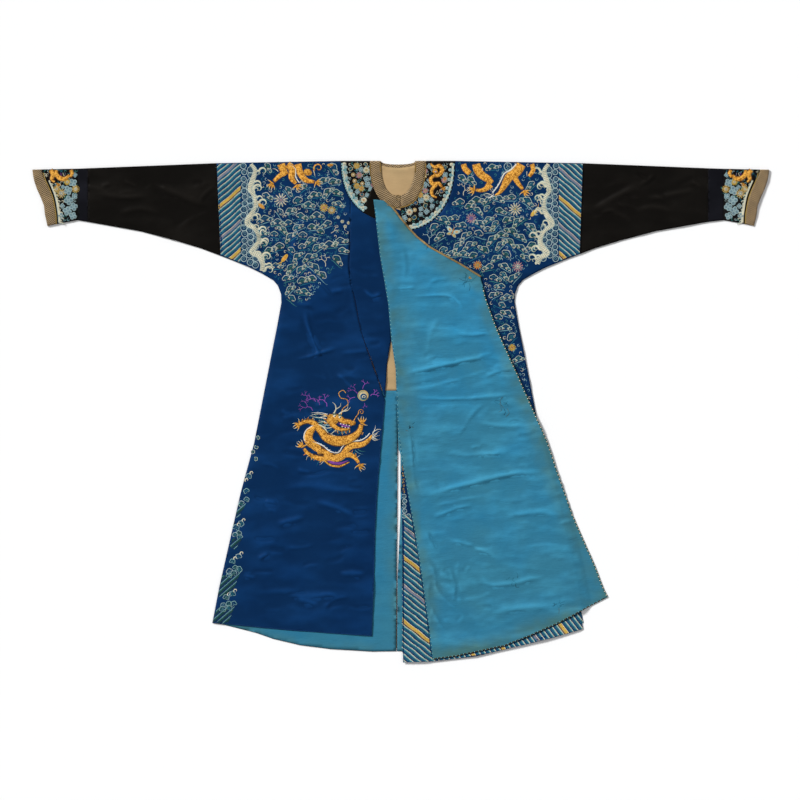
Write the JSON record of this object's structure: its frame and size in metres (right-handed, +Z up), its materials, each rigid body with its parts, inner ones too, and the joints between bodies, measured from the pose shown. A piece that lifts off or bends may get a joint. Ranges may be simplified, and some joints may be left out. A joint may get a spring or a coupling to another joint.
{
  "type": "chinese dragon robe",
  "caption": "Lined silk dragon robe with horse-hoof cuffs, laid out flat with its front overlap turned back to show the turquoise lining.",
  "frame": {"origin": "on the surface the robe lies on, under the middle of its box", "axes": "+X towards the wearer's left sleeve, +Y from hem to neck, +Z up off the surface"},
  "size_m": [2.092, 1.424, 0.0103],
  "materials": {
    "blue_satin": "royal blue silk satin, soft sheen, worked in silk floss and couched gold thread",
    "turquoise_lining": "faded turquoise tabby silk, fine crinkles, matt sheen",
    "beige_lining": "undyed cream-beige cloth, matt",
    "black_satin": "brown-black silk, almost matt",
    "navy_black_satin": "blue-black silk, almost matt",
    "embroidered_black": "black satin worked all over in silk floss and gold thread",
    "gold_brocade": "gold-brown metal-thread brocade with a small key pattern",
    "edging_brocade": "narrow gold-brown woven edging",
    "loop_cord": "rolled silk cord"
  },
  "bodies": {
    "root": {"right_panel": "blue_satin", "left_panel": "blue_satin", "underlap_gore": "blue_satin", "overlap_silk": "blue_satin", "overlap_lining": "turquoise_lining", "overlap_edging": "edging_brocade", "lining_back_upper": "beige_lining", "lining_back_right": "turquoise_lining", "lining_back_left": "turquoise_lining", "sleeve_right": "black_satin", "sleeve_left": "black_satin", "sleeve_strip_right": "navy_black_satin", "sleeve_strip_left": "navy_black_satin", "cuff_right": "embroidered_black", "cuff_left": "embroidered_black", "cuff_edge_right": "gold_brocade", "cuff_edge_left": "gold_brocade", "collar": "embroidered_black", "underlap_patch": "black_satin", "neckband": "gold_brocade", "neck_loop": "loop_cord"}
  },
  "joints": []
}
